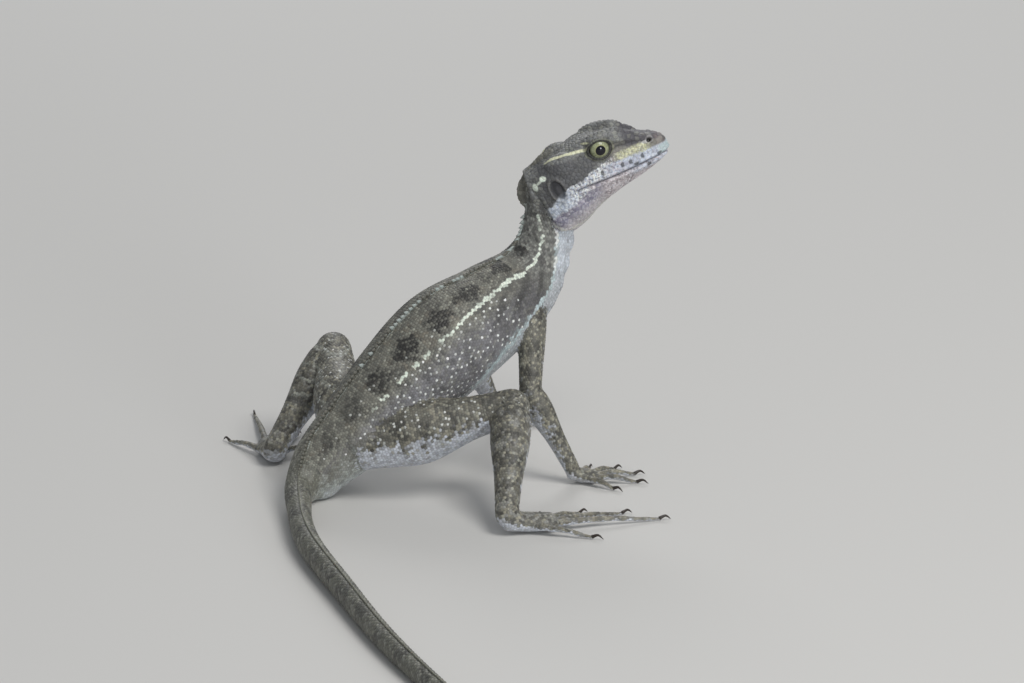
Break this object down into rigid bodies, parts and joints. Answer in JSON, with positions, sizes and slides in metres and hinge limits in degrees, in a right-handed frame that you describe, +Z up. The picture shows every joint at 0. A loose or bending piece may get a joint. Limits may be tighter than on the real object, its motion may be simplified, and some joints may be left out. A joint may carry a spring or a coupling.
{
  "type": "basilisk lizard",
  "caption": "Still model of a slim brown basilisk lizard with pale stripes, a small head crest, long toes and a very long tail, resting on its hind legs with the fore body raised.",
  "frame": {"origin": "on the floor, at the middle of the small flat under the vent, where the tail begins", "axes": "+X the way the trunk points, +Y the animal's left, +Z up from the floor"},
  "size_m": [0.1571, 0.4112, 0.0969],
  "materials": {
    "body_skin": "matte",
    "tail_skin": "matte",
    "leg_skin": "matte",
    "head_skin": "satin",
    "throat": "satin",
    "eye": "gloss"
  },
  "bodies": {
    "root": {"head": "head_skin", "lower_jaw": "throat", "head_crest": "head_skin", "eye_left": "eye", "eye_right": "eye", "neck": "body_skin", "chest": "body_skin", "belly": "body_skin", "pelvis": "body_skin", "tail_1": "tail_skin", "tail_2": "tail_skin", "tail_3": "tail_skin", "tail_4": "tail_skin", "tail_5": "tail_skin", "upper_arm_left": "leg_skin", "forearm_left": "leg_skin", "hand_left": "leg_skin", "thigh_left": "leg_skin", "shin_left": "leg_skin", "foot_left": "leg_skin", "upper_arm_right": "leg_skin", "forearm_right": "leg_skin", "hand_right": "leg_skin", "thigh_right": "leg_skin", "shin_right": "leg_skin", "foot_right": "leg_skin"}
  },
  "joints": []
}
